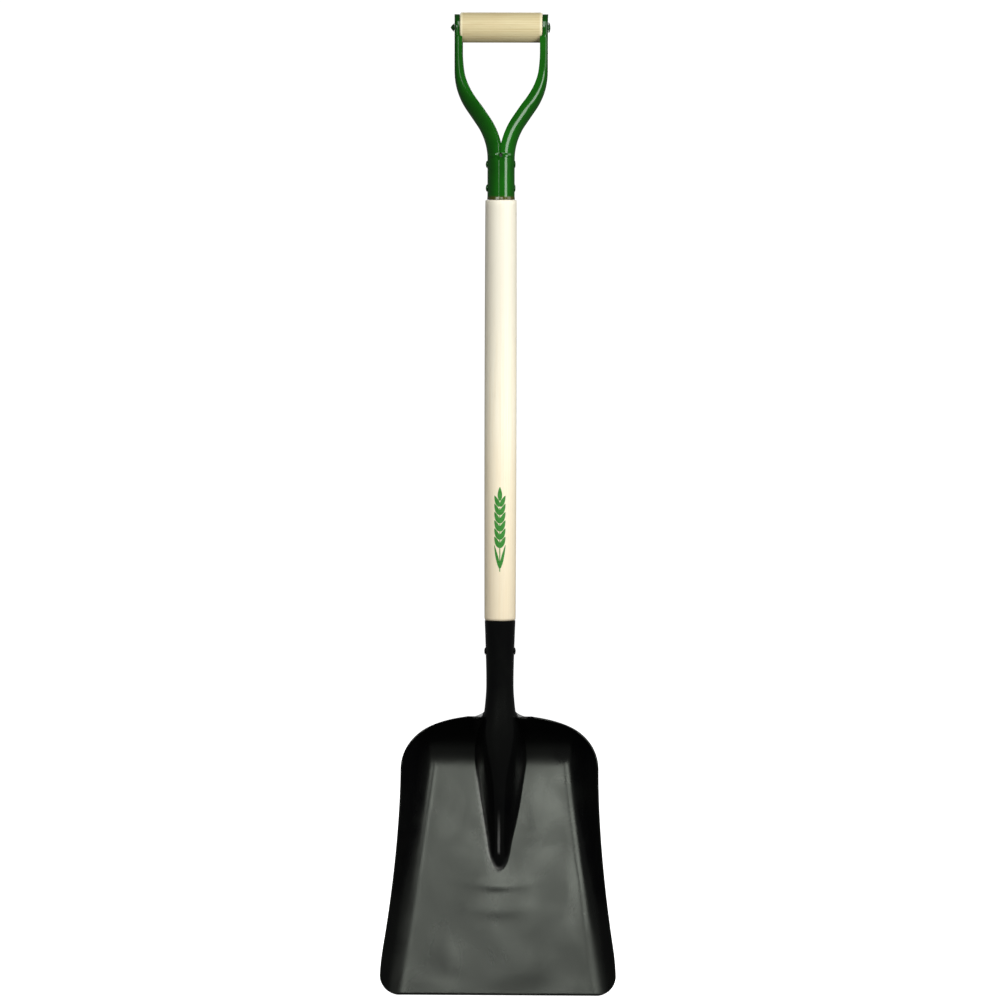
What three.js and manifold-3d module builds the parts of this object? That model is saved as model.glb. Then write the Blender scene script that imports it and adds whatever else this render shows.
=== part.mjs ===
// Grain scoop shovel: pressed steel scoop, wooden shaft, and a steel D-shaped yoke with a wooden grip.
// Millimetres, +Z up. The scoop's tip is at z = 0, its hollow side faces -Y, and +X is to the right.
// The origin is the centre of the bottom of the whole shovel's bounding box.

import * as THREE from 'three';
import Module from 'manifold-3d';
import { mergeVertices } from 'three/addons/utils/BufferGeometryUtils.js';

const wasm = await Module();
wasm.setup();

const DEG = Math.PI / 180;
const GAP = 0.3; // room left between pieces that touch

// Scoop plate. Depths (y) are measured from the shaft's axis, negative towards the hollow side.
const PLATE = 1.8;
const TIP_CORNER_R = 26;
const TIP_CORNER_HALF = 143.8; // half width where the rounded tip corners start
const TIP_CORNER_BLEND = 4;
const SHOULDER_Z = 270; // where the straight sides end and the rounded shoulders begin
const SHOULDER_HALF = 120.5;
const SHOULDER_RISE = 68;
const SHOULDER_POWER = 2.3;
const TIP_FLARE = 22.9; // how much wider each side is FLARE_RUN below the shoulders
const FLARE_RUN = 230;
const FLARE_POWER = 1.8;
const FLOOR_SLOPE = Math.tan(20 * DEG);
const HEEL_Z = 262;
const HEEL_Y = 30;
const CREASE_TIP_HALF = 124; // half width of the flat floor at the tip
const CREASE_TAPER = 0.129;
const CREASE_BLEND = 14;
const SIDE_SLOPE_TIP = 0.6;
const SIDE_SLOPE_HEEL = 1.45;
const SIDE_SLOPE_RUN = 230;
const BACK_LINE_Z = 297;
const BACK_SLOPE = 1.7;
const BACK_BLEND = 33;
const WALL_CORNER_POWER = 1.6;

// Ridge that carries the socket down the middle of the floor
const RIDGE_TOP_Z = 310;
const RIDGE_TOP_R = 21.6;
const RIDGE_TIP_Z = 151;
const RIDGE_TIP_R = 10.4;
const RIDGE_POWER = 1.7;
const RIDGE_SIDE_SLOPE = 4;
const KEEL_TOP_Z = 240;
const NO_RIDGE = 1000; // a depth far behind the floor, used below the ridge's end
// How softly the foot of the ridge runs into the floor: crisp low down, soft higher up, tight at the neck
const FOOT_CRISP = 3;
const FOOT_SOFT_LEFT = 9;
const FOOT_SOFT_RIGHT = 13;
const FOOT_NECK = 7;
const FOOT_LEFT_Z = [215, 275];
const FOOT_RIGHT_Z = [165, 235];
const FOOT_NECK_Z = [276, 300];

// Socket
const NECK_Z = 336.4;
const SEAM_Z = 352; // the sheet's edges meet at the back from here up
const WAIST_TOP_Z = 385;
const WAIST_BOTTOM_Z = 376;
const WAIST_R = 16.8;
const SOCKET_TOP_Z = 455.2;
const SOCKET_TOP_R = 18.9;
const SOCKET_POWER = 1.3;
const SEAM_ANGLE = 177.5 * DEG;
const NECK_FOLD_POWER = 6; // how fast the sheet draws in to the socket above the neck

// Shaft
const SHAFT_END_Z = 358;
const SHAFT_LOW_R = 19.2;
const SHAFT_HIGH_R = 19.2;
const SHAFT_BELLY = 0.5; // how much thicker the shaft is halfway up
const SHAFT_CHAMFER = 0.8;
const SOCKET_CLEARANCE = 0.4;
const TENON_TAPER_Z = 1016;
const TENON_TAPER = 1.6;
const TENON_TOP_Z = 1039; // behind the hole that ends the yoke's slit
const TENON_BEVEL = 3;

// Yoke: a tube below, split above into two channels that carry the grip
const YOKE_WALL = 1.6;
const FERRULE_Z = 971.4;
const FERRULE_R = 16.7;
const FERRULE_LIP = 0.4;
const YOKE_BEND_Z = 1020.3;
const SLIT_Z = 1025;
const SLIT_HOLE_R = 2.2;
const HALF_SLIT = 0.25;
const BEND = 34.5 * DEG;
const LOWER_BEND_R = 74;
const UPPER_BEND_R = 85;
const EAR_X = 57.4;
const EAR_R = 16.6;
const CHANNEL_FLARE = 1.8;
const CHANNEL_DEPTH = 9.9;
const CHANNEL_TOP_Z = 1152;
const CHANNEL_BOTTOM_Z = 1072;
const CHANNEL_SQUARENESS = 4.5; // 2 is round
const TUBE_SQUARENESS = 2;

// Grip
const GRIP_Z = 1181.5;
const GRIP_R = 18.4;
const GRIP_HALF = 50.4;
const GRIP_BORE_R = 3.45;
const GRIP_CHAMFER = 1.2;

// Rivets
const GRIP_RIVET_R = 3.2;
const RIVET_R = 2.5;
const RIVET_HOLE_R = RIVET_R + GAP;
const RIVET_HEAD_R = 4.6;
const YOKE_RIVET_Z = [1014.6, 985.5];
const YOKE_HEAD_LEFT = 1.9;
const YOKE_HEAD_RIGHT = 0.9;
const SOCKET_RIVET_Z = 417;
const SOCKET_HEAD = 1.6;
const DRILL_REACH = 30; // from the shaft's axis to past the outside of the ferrule and the socket

// Mesh helpers

function solidOf(geometry) {
  const bare = geometry.clone();
  bare.deleteAttribute('normal');
  bare.deleteAttribute('uv');
  const merged = mergeVertices(bare, 1e-4);
  const vertProperties = new Float32Array(merged.attributes.position.array);
  const triVerts = new Uint32Array(merged.index.array);
  return new wasm.Manifold(new wasm.Mesh({ numProp: 3, vertProperties, triVerts }));
}

function geometryOf(solid) {
  const mesh = solid.getMesh();
  const geometry = new THREE.BufferGeometry();
  const positions = new Float32Array(mesh.vertProperties);
  geometry.setAttribute('position', new THREE.BufferAttribute(positions, 3));
  geometry.setIndex(new THREE.BufferAttribute(new Uint32Array(mesh.triVerts), 1));
  geometry.computeVertexNormals();
  return geometry;
}

function cut(geometry, ...tools) {
  const solid = tools.reduce((left, tool) => left.subtract(solidOf(tool)), solidOf(geometry));
  return geometryOf(solid);
}

// A cylinder along X, used as a drill or a clearance
function barAlongX(radius, fromX, toX, z, segments = 16) {
  const bar = new THREE.CylinderGeometry(radius, radius, toX - fromX, segments);
  bar.rotateZ(-Math.PI / 2);
  bar.translate((fromX + toX) / 2, 0, z);
  return bar;
}

// The hole for a rivet that goes right through the ferrule or the socket
const rivetHole = (z) => barAlongX(RIVET_HOLE_R, -DRILL_REACH, DRILL_REACH, z);

// A body of revolution about X from [x, radius] pairs that start and end on the axis
function turnedAlongX(profile, z, segments = 16) {
  const outline = profile.map(([x, radius]) => new THREE.Vector2(radius, x));
  const lathe = new THREE.LatheGeometry(outline, segments);
  lathe.rotateZ(-Math.PI / 2);
  lathe.translate(0, 0, z);
  return lathe;
}

// A body of revolution about Z from [radius, z] pairs
function turnedAlongZ(profile, segments) {
  const outline = profile.map(([radius, z]) => new THREE.Vector2(radius, z));
  const lathe = new THREE.LatheGeometry(outline, segments);
  lathe.rotateX(Math.PI / 2);
  lathe.scale(1, -1, 1);
  return flipped(lathe);
}

function flipped(geometry) {
  const index = geometry.index;
  for (let i = 0; i < index.count; i += 3) {
    const second = index.getX(i + 1);
    index.setX(i + 1, index.getX(i + 2));
    index.setX(i + 2, second);
  }
  return geometry;
}

// A closed shell from two matching grids of points: the outside and the inside of one bent sheet
function shellOf(outside, inside) {
  const rows = outside.length;
  const columns = outside[0].length;
  const points = [...outside.flat(), ...inside.flat()];
  const at = (side, i, j) => side * rows * columns + i * columns + j;
  const triangles = [];
  const quad = (a, b, c, d) => triangles.push(a, b, c, a, c, d);
  for (let i = 0; i < rows - 1; i++) {
    for (let j = 0; j < columns - 1; j++) {
      quad(at(0, i, j), at(0, i, j + 1), at(0, i + 1, j + 1), at(0, i + 1, j));
      quad(at(1, i, j), at(1, i + 1, j), at(1, i + 1, j + 1), at(1, i, j + 1));
    }
    quad(at(0, i, 0), at(0, i + 1, 0), at(1, i + 1, 0), at(1, i, 0));
    const last = columns - 1;
    quad(at(0, i, last), at(1, i, last), at(1, i + 1, last), at(0, i + 1, last));
  }
  for (let j = 0; j < columns - 1; j++) {
    const top = rows - 1;
    quad(at(0, 0, j), at(1, 0, j), at(1, 0, j + 1), at(0, 0, j + 1));
    quad(at(0, top, j), at(0, top, j + 1), at(1, top, j + 1), at(1, top, j));
  }
  return closedGeometry(points, triangles);
}

// Merges equal points and drops the triangles that this leaves without area
function closedGeometry(points, triangles) {
  const raw = new THREE.BufferGeometry();
  raw.setAttribute('position', new THREE.Float32BufferAttribute(points.flatMap((p) => p.toArray()), 3));
  raw.setIndex(triangles);
  const merged = mergeVertices(raw, 1e-3);
  const index = Array.from(merged.index.array);
  const kept = [];
  for (let i = 0; i < index.length; i += 3) {
    const [a, b, c] = index.slice(i, i + 3);
    if (a !== b && b !== c && c !== a) kept.push(a, b, c);
  }
  merged.setIndex(kept);
  merged.computeVertexNormals();
  return merged;
}

// Small maths

const clamp01 = (t) => Math.min(1, Math.max(0, t));
const mix = (a, b, t) => a + (b - a) * t;

function smoothstep(from, to, value) {
  const t = clamp01((value - from) / (to - from));
  return t * t * (3 - 2 * t);
}

// Zero below -blend, the value itself above +blend, and a smooth bend between them
function ramp(value, blend) {
  if (value >= blend) return value;
  const share = clamp01((value + blend) / (2 * blend));
  return 2 * blend * share ** 3 * (1 - share / 2);
}

function smoothMin(a, b, blend) {
  const share = Math.max(blend - Math.abs(a - b), 0) / blend;
  return Math.min(a, b) - (share * share * blend) / 4;
}

// Scoop shape

function halfWidth(z) {
  if (z > SHOULDER_Z) {
    const up = (z - SHOULDER_Z) / SHOULDER_RISE;
    return SHOULDER_HALF * (1 - up ** SHOULDER_POWER) ** (1 / SHOULDER_POWER);
  }
  const side = SHOULDER_HALF + TIP_FLARE * ((SHOULDER_Z - z) / FLARE_RUN) ** FLARE_POWER;
  const below = Math.max(TIP_CORNER_R - z, 0);
  const inset = TIP_CORNER_R - Math.sqrt(TIP_CORNER_R ** 2 - below ** 2);
  return smoothMin(side, TIP_CORNER_HALF - inset, TIP_CORNER_BLEND);
}

const floorDepth = (z) => HEEL_Y - (HEEL_Z - z) * FLOOR_SLOPE;

function wallRise(x, z) {
  const crease = CREASE_TIP_HALF - CREASE_TAPER * z;
  const slope = mix(SIDE_SLOPE_TIP, SIDE_SLOPE_HEEL, smoothstep(0, SIDE_SLOPE_RUN, z));
  const side = slope * ramp(Math.abs(x) - crease, CREASE_BLEND);
  const back = BACK_SLOPE * ramp(z - BACK_LINE_Z, BACK_BLEND);
  return (side ** WALL_CORNER_POWER + back ** WALL_CORNER_POWER) ** (1 / WALL_CORNER_POWER);
}

// Radius of the socket, and of the ridge that continues it down into the scoop
function socketRadius(z) {
  if (z >= WAIST_TOP_Z) {
    const up = (z - WAIST_TOP_Z) / (SOCKET_TOP_Z - WAIST_TOP_Z);
    return WAIST_R + (SOCKET_TOP_R - WAIST_R) * up ** SOCKET_POWER;
  }
  if (z >= RIDGE_TOP_Z) return mix(RIDGE_TOP_R, WAIST_R, smoothstep(RIDGE_TOP_Z, WAIST_BOTTOM_Z, z));
  const down = (RIDGE_TOP_Z - z) / (RIDGE_TOP_Z - RIDGE_TIP_Z);
  return RIDGE_TOP_R - (RIDGE_TOP_R - RIDGE_TIP_R) * down ** RIDGE_POWER;
}

// Depth of the ridge's surface: a keel-shaped section that turns into the socket's round one higher up
function ridgeDepth(x, z) {
  const radius = socketRadius(z);
  if (radius <= 0.5) return NO_RIDGE;
  const lean = Math.hypot(1, RIDGE_SIDE_SLOPE);
  const tangentX = (radius * RIDGE_SIDE_SLOPE) / lean;
  const across = Math.abs(x);
  const side = -radius / lean + RIDGE_SIDE_SLOPE * (across - tangentX);
  const round = across < tangentX ? -Math.sqrt(radius * radius - across * across) : side;
  const floor = floorDepth(z);
  const footSquared = floor < 0 ? radius ** 2 - floor ** 2 : (radius + floor / RIDGE_SIDE_SLOPE) ** 2;
  if (footSquared <= 0) return round;
  const keel = (across ** 2 / footSquared) * (floor + radius) - radius;
  return mix(keel, round, smoothstep(KEEL_TOP_Z, RIDGE_TOP_Z, z));
}

function footBlend(x, z) {
  const left = mix(FOOT_CRISP, FOOT_SOFT_LEFT, smoothstep(...FOOT_LEFT_Z, z));
  const right = mix(FOOT_CRISP, FOOT_SOFT_RIGHT, smoothstep(...FOOT_RIGHT_Z, z));
  return mix(x < 0 ? left : right, FOOT_NECK, smoothstep(...FOOT_NECK_Z, z));
}

function scoopDepth(x, z) {
  return smoothMin(floorDepth(z) - wallRise(x, z), ridgeDepth(x, z), footBlend(x, z));
}

// Points across the scoop at one height, closer together where the sheet turns
function scoopRow(z, columns) {
  const steps = 480;
  const bendWeight = 22;
  const half = halfWidth(z);
  const along = [0];
  const xs = [-half];
  let lastSlope = null;
  for (let i = 1; i <= steps; i++) {
    const x = mix(-half, half, i / steps);
    const dx = x - xs[i - 1];
    const dy = scoopDepth(x, z) - scoopDepth(xs[i - 1], z);
    const slope = Math.atan2(dy, dx);
    const turn = lastSlope === null ? 0 : Math.abs(slope - lastSlope);
    along.push(along[i - 1] + Math.hypot(dx, dy) + bendWeight * turn);
    xs.push(x);
    lastSlope = slope;
  }
  const total = along[steps];
  let k = 1;
  return Array.from({ length: columns }, (_, j) => {
    const target = (total * j) / (columns - 1);
    while (k < steps && along[k] < target) k++;
    const share = clamp01((target - along[k - 1]) / (along[k] - along[k - 1]));
    const x = mix(xs[k - 1], xs[k], share);
    return new THREE.Vector3(x, scoopDepth(x, z), z);
  });
}

// Points around the socket. The sheet wraps backwards from the neck until its edges meet at the seam.
function socketRow(z, neckRow) {
  const wrapped = clamp01((z - NECK_Z) / (SEAM_Z - NECK_Z));
  const columns = neckRow.length;
  return neckRow.map((point, j) => {
    const closedAngle = mix(-SEAM_ANGLE, SEAM_ANGLE, j / (columns - 1));
    const neckAngle = Math.atan2(point.x, -point.y);
    const neckExtra = Math.hypot(point.x, point.y) - socketRadius(NECK_Z);
    const angle = mix(neckAngle, closedAngle, wrapped);
    const radius = socketRadius(z) + neckExtra * (1 - wrapped) ** NECK_FOLD_POWER;
    return new THREE.Vector3(radius * Math.sin(angle), -radius * Math.cos(angle), z);
  });
}

// The sheet's other face, one plate thickness behind each point
function insideOf(outside, thickness) {
  const rows = outside.length;
  const columns = outside[0].length;
  return outside.map((row, i) =>
    row.map((point, j) => {
      const across = new THREE.Vector3().subVectors(
        row[Math.min(j + 1, columns - 1)],
        row[Math.max(j - 1, 0)],
      );
      const up = new THREE.Vector3().subVectors(
        outside[Math.min(i + 1, rows - 1)][j],
        outside[Math.max(i - 1, 0)][j],
      );
      const normal = across.cross(up).normalize();
      return point.clone().addScaledVector(normal, -thickness);
    }),
  );
}

function scoopGeometry() {
  const columns = 33;
  const tip = [0, 1.2, 4, 9, 16, 26];
  const plain = [52, 84, 116, 138];
  const ridge = [147, 152, 158, 166, 178, 192, 208, 224, 238, 250];
  const heel = [256, 264, 272, 280, 289, 298, 307, 315, 322, 328, 332, 334.8, NECK_Z];
  const neck = [337.4, 339, 341.5, 346, SEAM_Z];
  const socket = [360, 371, 385, 400, 416, 434, SOCKET_TOP_Z];
  const scoopRows = [...tip, ...plain, ...ridge, ...heel].map((z) => scoopRow(z, columns));
  const neckRow = scoopRows.at(-1);
  const outside = [...scoopRows, ...[...neck, ...socket].map((z) => socketRow(z, neckRow))];
  const inside = insideOf(outside, PLATE);
  // The tip's edge and the socket's rim are ground flat
  inside[0].forEach((point, j) => {
    point.copy(outside[0][j]);
    point.y += PLATE * Math.hypot(1, FLOOR_SLOPE);
  });
  inside.at(-1).forEach((point) => {
    point.z = SOCKET_TOP_Z;
  });
  return cut(shellOf(outside, inside), rivetHole(SOCKET_RIVET_Z));
}

// Shaft: slimmer at both ends, where it goes into the yoke's ferrule and the scoop's socket

// Radius and height of the shaft's side at a share of the way from the socket to the ferrule
function bellyPoint(share) {
  const radius = mix(SHAFT_LOW_R, SHAFT_HIGH_R, share) + SHAFT_BELLY * Math.sin(Math.PI * share);
  return [radius, mix(SOCKET_TOP_Z, FERRULE_Z, share)];
}

function shaftGeometry() {
  const tenonR = FERRULE_R - YOKE_WALL - GAP;
  const inSocket = (z) => socketRadius(z) - PLATE - SOCKET_CLEARANCE;
  const socketStations = [SHAFT_END_Z + 3, 372, 385, 400, 416, 434, SOCKET_TOP_Z + GAP];
  const profile = [
    [0, SHAFT_END_Z],
    [inSocket(WAIST_TOP_Z) - 2.5, SHAFT_END_Z],
    ...socketStations.map((z) => [inSocket(Math.max(z, WAIST_TOP_Z)), z]),
    [SHAFT_LOW_R - SHAFT_CHAMFER, SOCKET_TOP_Z + GAP],
    [SHAFT_LOW_R, SOCKET_TOP_Z + GAP + SHAFT_CHAMFER],
    ...[0.2, 0.4, 0.6, 0.8].map(bellyPoint),
    [SHAFT_HIGH_R, FERRULE_Z - GAP - SHAFT_CHAMFER],
    [SHAFT_HIGH_R - SHAFT_CHAMFER, FERRULE_Z - GAP],
    [tenonR, FERRULE_Z - GAP],
    [tenonR, TENON_TAPER_Z],
    [tenonR - TENON_TAPER, TENON_TOP_Z - TENON_BEVEL],
    [tenonR - TENON_TAPER - TENON_BEVEL, TENON_TOP_Z],
    [0, TENON_TOP_Z],
  ];
  return cut(turnedAlongZ(profile, 36), ...[...YOKE_RIVET_Z, SOCKET_RIVET_Z].map(rivetHole));
}

// Yoke

// Outer line of the right channel's web at a distance along it from the lower bend
function webLine(distance) {
  const lowerArc = LOWER_BEND_R * BEND;
  const upperArc = UPPER_BEND_R * BEND;
  const sideStep = (LOWER_BEND_R + UPPER_BEND_R) * (1 - Math.cos(BEND));
  const straight = (EAR_X - FERRULE_R - sideStep) / Math.sin(BEND);
  const s1 = Math.min(Math.max(distance, 0), lowerArc);
  const s2 = clamp01((distance - lowerArc) / straight) * straight;
  const s3 = Math.min(Math.max(distance - lowerArc - straight, 0), upperArc);
  const s4 = Math.max(distance - lowerArc - straight - upperArc, 0) + Math.min(distance, 0);
  const a1 = s1 / LOWER_BEND_R;
  const a3 = BEND - s3 / UPPER_BEND_R;
  const x = FERRULE_R + LOWER_BEND_R * (1 - Math.cos(a1)) + s2 * Math.sin(BEND)
    + UPPER_BEND_R * (Math.cos(a3) - Math.cos(BEND));
  const z = YOKE_BEND_Z + LOWER_BEND_R * Math.sin(a1) + s2 * Math.cos(BEND)
    + UPPER_BEND_R * (Math.sin(BEND) - Math.sin(a3)) + s4;
  const lean = s3 > 0 ? a3 : a1;
  return { x, z, lean, top: lowerArc + straight + upperArc };
}

// One row of the right channel's section, open towards the middle of the shovel
function channelRow(web, depth, halfY, squareness, columns, z = web.z) {
  return Array.from({ length: columns }, (_, j) => {
    const angle = mix(-90, 90, j / (columns - 1)) * DEG;
    const reach = Math.abs(Math.cos(angle)) ** (2 / squareness);
    const side = Math.sign(angle) * Math.abs(Math.sin(angle)) ** (2 / squareness);
    const inward = depth * (1 - (Math.abs(angle) > 89.9 * DEG ? 0 : reach));
    return new THREE.Vector3(
      web.x - inward * Math.cos(web.lean),
      halfY * side,
      z + inward * Math.sin(web.lean),
    );
  });
}

// Half of the yoke: a half tube that bends outwards, flattens into a channel and ends in a round ear
function yokeHalf() {
  const columns = 13;
  const overlap = 0.2;
  const toEar = webLine(0).top + (GRIP_Z - webLine(webLine(0).top).z);
  const ferrule = [FERRULE_Z, FERRULE_Z + 3, FERRULE_Z + 24, SLIT_Z - 1].map((z) => z - YOKE_BEND_Z);
  const slit = [SLIT_Z + 1, SLIT_Z + 6].map((z) => z - YOKE_BEND_Z);
  const armFrom = SLIT_Z + 12 - YOKE_BEND_Z;
  const arm = [...slit, ...Array.from({ length: 16 }, (_, i) => mix(armFrom, toEar, i / 15))];
  const shapeAt = (distance) => {
    const web = webLine(distance);
    const flat = smoothstep(CHANNEL_BOTTOM_Z, CHANNEL_TOP_Z, web.z);
    const lip = FERRULE_LIP * smoothstep(FERRULE_Z + 4, FERRULE_Z, web.z);
    const toSlit = (web.x - HALF_SLIT) / Math.cos(web.lean);
    const open = Math.min(mix(FERRULE_R + CHANNEL_FLARE, CHANNEL_DEPTH, flat), toSlit);
    const depth = web.z < SLIT_Z ? FERRULE_R + overlap + lip : open;
    return { web: { ...web, x: web.x + lip }, depth, halfY: mix(FERRULE_R, EAR_R, flat) + lip, flat };
  };
  const outside = [];
  const inside = [];
  for (const distance of [...ferrule, ...arm]) {
    const { web, depth, halfY, flat } = shapeAt(distance);
    const squareness = mix(TUBE_SQUARENESS, CHANNEL_SQUARENESS, flat);
    outside.push(channelRow(web, depth, halfY, squareness, columns));
    const inner = {
      ...web,
      x: web.x - YOKE_WALL * Math.cos(web.lean),
      z: web.z + YOKE_WALL * Math.sin(web.lean),
    };
    inside.push(channelRow(inner, depth - YOKE_WALL, halfY - YOKE_WALL, squareness, columns));
  }
  const ear = webLine(toEar);
  const innerEar = { ...ear, x: ear.x - YOKE_WALL };
  for (const degrees of [25, 48, 68, 82, 90]) {
    const round = degrees === 90 ? 0 : Math.cos(degrees * DEG);
    const rise = Math.sin(degrees * DEG);
    const innerR = EAR_R - YOKE_WALL;
    const top = GRIP_Z + EAR_R * rise;
    const innerTop = GRIP_Z + innerR * rise;
    const innerDepth = CHANNEL_DEPTH - YOKE_WALL;
    outside.push(channelRow(ear, CHANNEL_DEPTH, EAR_R * round, CHANNEL_SQUARENESS, columns, top));
    const innerHalf = innerR * round;
    inside.push(channelRow(innerEar, innerDepth, innerHalf, CHANNEL_SQUARENESS, columns, innerTop));
  }
  return shellOf(outside, inside);
}

function mirroredInX(geometry) {
  const other = geometry.clone();
  other.scale(-1, 1, 1);
  return flipped(other);
}

function yokeGeometry() {
  const right = yokeHalf();
  const both = geometryOf(solidOf(right).add(solidOf(mirroredInX(right))));
  const slitHole = new THREE.CylinderGeometry(SLIT_HOLE_R, SLIT_HOLE_R, 60, 16);
  slitHole.translate(0, 0, SLIT_Z);
  const grip = barAlongX(GRIP_R + 0.5, -GRIP_HALF - 0.4, GRIP_HALF + 0.4, GRIP_Z, 48);
  const earDrill = barAlongX(GRIP_RIVET_R + GAP, -70, 70, GRIP_Z);
  return cut(both, slitHole, grip, earDrill, ...YOKE_RIVET_Z.map(rivetHole));
}

// Grip: a turned wooden roll with a through bore, closed profile round its wall

function gripGeometry() {
  const end = GRIP_HALF;
  const rim = GRIP_R - GRIP_CHAMFER;
  return turnedAlongX(
    [
      [-end, GRIP_BORE_R],
      [-end, rim],
      [-end + GRIP_CHAMFER, GRIP_R],
      [end - GRIP_CHAMFER, GRIP_R],
      [end, rim],
      [end, GRIP_BORE_R],
      [-end, GRIP_BORE_R],
    ],
    GRIP_Z,
    40,
  );
}

// Rivets

function gripRivetGeometry() {
  const faceX = EAR_X + GAP;
  return turnedAlongX(
    [
      [-faceX - 4.5, 0],
      [-faceX - 3.9, 1.4],
      [-faceX - 0.8, 4.9],
      [-faceX, 5.4],
      [-faceX, GRIP_RIVET_R],
      [faceX, GRIP_RIVET_R],
      [faceX, 6.7],
      [faceX + 0.8, 6.5],
      [faceX + 2, 4],
      [faceX + 2.5, 0],
    ],
    GRIP_Z,
  );
}

// A through rivet with a domed head at each end
function throughRivet(faceX, leftHead, rightHead, z) {
  return turnedAlongX(
    [
      [-faceX - leftHead, 0],
      [-faceX - leftHead * 0.8, RIVET_HEAD_R * 0.6],
      [-faceX - leftHead * 0.25, RIVET_HEAD_R * 0.95],
      [-faceX, RIVET_HEAD_R],
      [-faceX, RIVET_R],
      [faceX, RIVET_R],
      [faceX, RIVET_HEAD_R],
      [faceX + rightHead * 0.25, RIVET_HEAD_R * 0.95],
      [faceX + rightHead * 0.8, RIVET_HEAD_R * 0.6],
      [faceX + rightHead, 0],
    ],
    z,
  );
}

// Materials

function finish(color, roughness, metalness) {
  return new THREE.MeshStandardMaterial({ color, roughness, metalness });
}

const painted = (color, roughness) => finish(color, roughness, 0.1);
const wooden = (color, roughness) => finish(color, roughness, 0);
const paintedGreen = () => painted(0x1f6b1c, 0.25);
const paintedBlack = () => painted(0x151517, 0.38);
const shaftWood = () => wooden(0xf0e4c4, 0.55);
const gripWood = () => wooden(0xdfc79f, 0.6);

// Assembly

const shovel = new THREE.Group();

function addPiece(name, geometry, material) {
  const mesh = new THREE.Mesh(geometry, material);
  mesh.name = name;
  shovel.add(mesh);
}

addPiece('scoop', scoopGeometry(), paintedBlack());
addPiece('shaft', shaftGeometry(), shaftWood());
addPiece('yoke', yokeGeometry(), paintedGreen());
addPiece('grip', gripGeometry(), gripWood());
addPiece('grip_rivet', gripRivetGeometry(), paintedGreen());
const yokeRivetX = FERRULE_R + GAP;
const yokeRivet = (z) => throughRivet(yokeRivetX, YOKE_HEAD_LEFT, YOKE_HEAD_RIGHT, z);
addPiece('yoke_rivet_upper', yokeRivet(YOKE_RIVET_Z[0]), paintedGreen());
addPiece('yoke_rivet_lower', yokeRivet(YOKE_RIVET_Z[1]), paintedGreen());
const socketRivetX = socketRadius(SOCKET_RIVET_Z) + GAP;
const socketRivet = throughRivet(socketRivetX, SOCKET_HEAD, SOCKET_HEAD, SOCKET_RIVET_Z);
addPiece('socket_rivet', socketRivet, paintedBlack());

const box = new THREE.Box3().setFromObject(shovel);
shovel.position.y = -(box.min.y + box.max.y) / 2;

export default shovel;
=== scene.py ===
"""Looks for a grain scoop shovel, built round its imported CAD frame.

Shapes are worked out in millimetres from the shaft's axis:
x to the right, y towards the back, z up from the tip.
"""

import math

import bmesh
import bpy
import numpy as np
from mathutils import Matrix, Vector


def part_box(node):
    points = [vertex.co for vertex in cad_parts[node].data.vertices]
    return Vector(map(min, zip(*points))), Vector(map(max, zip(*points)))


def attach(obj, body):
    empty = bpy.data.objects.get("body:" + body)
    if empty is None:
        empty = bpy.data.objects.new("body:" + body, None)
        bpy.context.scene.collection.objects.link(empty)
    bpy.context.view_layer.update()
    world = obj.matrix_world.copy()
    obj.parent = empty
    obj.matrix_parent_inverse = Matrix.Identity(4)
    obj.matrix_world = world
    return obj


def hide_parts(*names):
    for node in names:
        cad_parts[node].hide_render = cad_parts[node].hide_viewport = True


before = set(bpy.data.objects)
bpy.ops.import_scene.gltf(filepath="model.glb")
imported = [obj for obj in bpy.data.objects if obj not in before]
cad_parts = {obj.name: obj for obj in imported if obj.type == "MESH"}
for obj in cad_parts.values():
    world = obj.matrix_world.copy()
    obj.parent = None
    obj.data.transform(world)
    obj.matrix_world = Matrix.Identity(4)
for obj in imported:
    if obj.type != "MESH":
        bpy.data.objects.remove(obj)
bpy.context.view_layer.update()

MM = 0.001
SHAFT_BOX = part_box("shaft")
AXIS_Y = (SHAFT_BOX[0].y + SHAFT_BOX[1].y) / 2 / MM  # the shaft's axis in the frame

# Scoop sheet
PLATE = 1.8
EDGE_ROUND = 0.35
TIP_CORNER_R = 26
TIP_CORNER_HALF = 143.8
TIP_CORNER_BLEND = 4
SHOULDER_Z = 270
SHOULDER_HALF = 120.5
SHOULDER_RISE = 68
SHOULDER_POWER = 2.3
TIP_FLARE = 22.9
FLARE_RUN = 230
FLARE_POWER = 1.8
FLOOR_SLOPE = math.tan(math.radians(20))
HEEL_Z = 262
HEEL_Y = 30
CREASE_TIP_HALF = 124
CREASE_TAPER = 0.129
CREASE_BLEND = 14
SIDE_SLOPE_TIP = 0.6
SIDE_SLOPE_HEEL = 1.45
SIDE_SLOPE_RUN = 230
BACK_LINE_Z = 297
BACK_SLOPE = 1.7
BACK_BLEND = 33
WALL_CORNER_POWER = 1.6
RIDGE_TOP_Z = 310
RIDGE_TOP_R = 21.6
RIDGE_TIP_Z = 151
RIDGE_TIP_R = 10.4
RIDGE_POWER = 1.7
RIDGE_SIDE_SLOPE = 4
KEEL_TOP_Z = 240
NO_RIDGE = 1000.0  # a depth far behind the floor, used below the ridge's end
FOOT_CRISP = 3.0
FOOT_SOFT_LEFT = 9.0
FOOT_SOFT_RIGHT = 13.0
FOOT_NECK = 7.0
FOOT_LEFT_Z = (215, 275)
FOOT_RIGHT_Z = (165, 235)
FOOT_NECK_Z = (276, 300)
NECK_Z = 336.4
SEAM_Z = 352
WAIST_TOP_Z = 385
WAIST_BOTTOM_Z = 376
WAIST_R = 16.8
SOCKET_TOP_Z = 455.2
SOCKET_TOP_R = 18.9
SOCKET_POWER = 1.3
SEAM_ANGLE = math.radians(177.5)
NECK_FOLD_POWER = 6

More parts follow.
